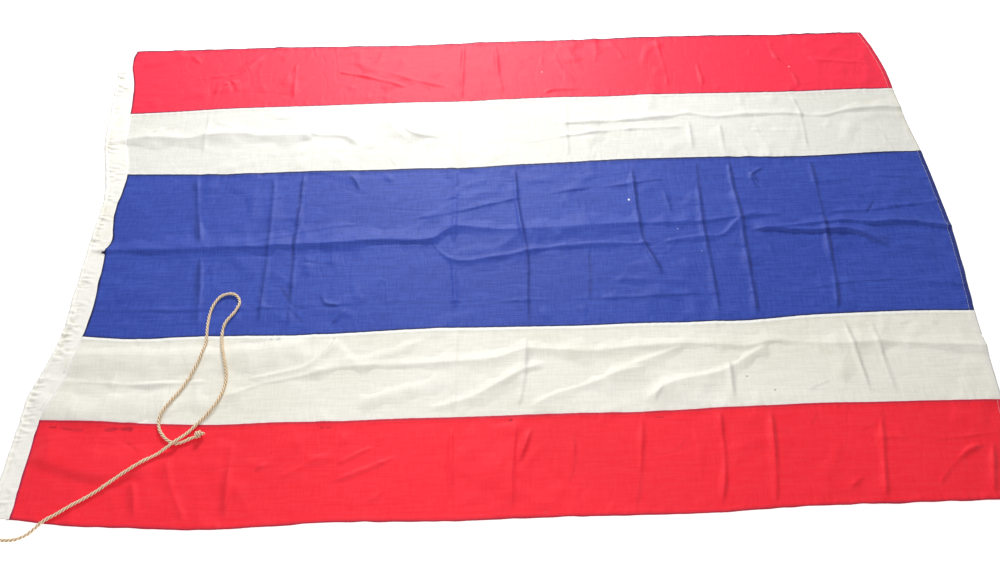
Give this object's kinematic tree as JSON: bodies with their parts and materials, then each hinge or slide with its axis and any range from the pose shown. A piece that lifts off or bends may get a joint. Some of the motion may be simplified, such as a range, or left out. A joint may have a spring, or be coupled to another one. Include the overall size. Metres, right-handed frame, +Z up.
{
  "type": "flag laid open, sewn from red, white and blue bands, with canvas heading and hoist rope",
  "caption": "Worn cotton flag of sewn horizontal bands, laid open with its fold creases, canvas heading along the hoist and a knotted hoist rope.",
  "frame": {"origin": "on the surface the flag lies on, under the middle of the flag", "axes": "+X from the hoist to the fly, +Y from the lower edge to the upper edge, +Z up, out of the face"},
  "size_m": [1.8823, 1.2498, 0.0154],
  "materials": {
    "red_bunting": "matte woven cotton",
    "white_bunting": "matte woven cotton",
    "blue_bunting": "matte woven cotton",
    "heading_canvas": "matte canvas",
    "rope_fibre": "matte laid fibre rope"
  },
  "bodies": {
    "root": {"band_red_top": "red_bunting", "band_white_top": "white_bunting", "band_blue": "blue_bunting", "band_white_bottom": "white_bunting", "band_red_bottom": "red_bunting", "heading": "heading_canvas", "hoist_rope": "rope_fibre", "rope_knot": "rope_fibre"}
  },
  "joints": []
}
